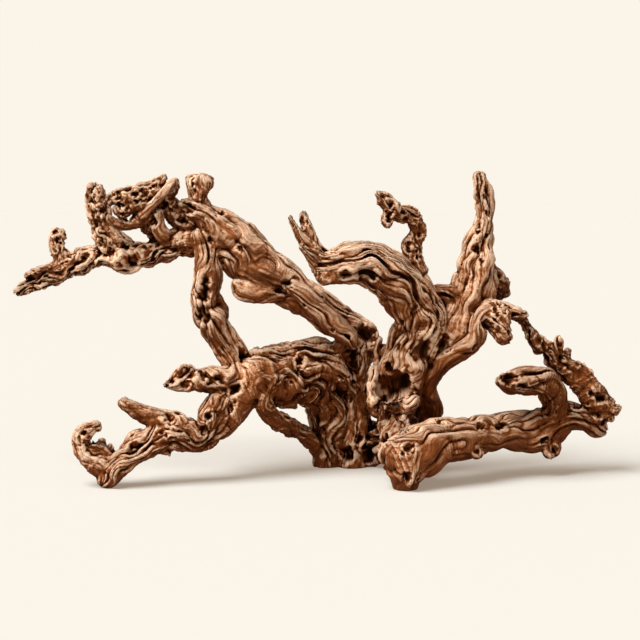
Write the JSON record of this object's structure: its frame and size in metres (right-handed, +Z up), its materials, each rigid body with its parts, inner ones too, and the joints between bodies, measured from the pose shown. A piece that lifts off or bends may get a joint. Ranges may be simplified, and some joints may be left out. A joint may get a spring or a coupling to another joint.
{
  "type": "dry root",
  "caption": "Gnarled dry root of weathered wood with arching limbs, spikes and open gaps, resting on trimmed feet.",
  "frame": {"origin": "middle of the root's box, on the surface that it rests on", "axes": "+X along the root's length, towards the limb that lies low at the front; +Y towards the back; +Z up"},
  "size_m": [0.6088, 0.195, 0.3056],
  "materials": {
    "weathered_wood": "dry, weathered and unvarnished, matte with a faint sheen on worn ridges"
  },
  "bodies": {
    "root": {"dry_root": "weathered_wood"}
  },
  "joints": []
}
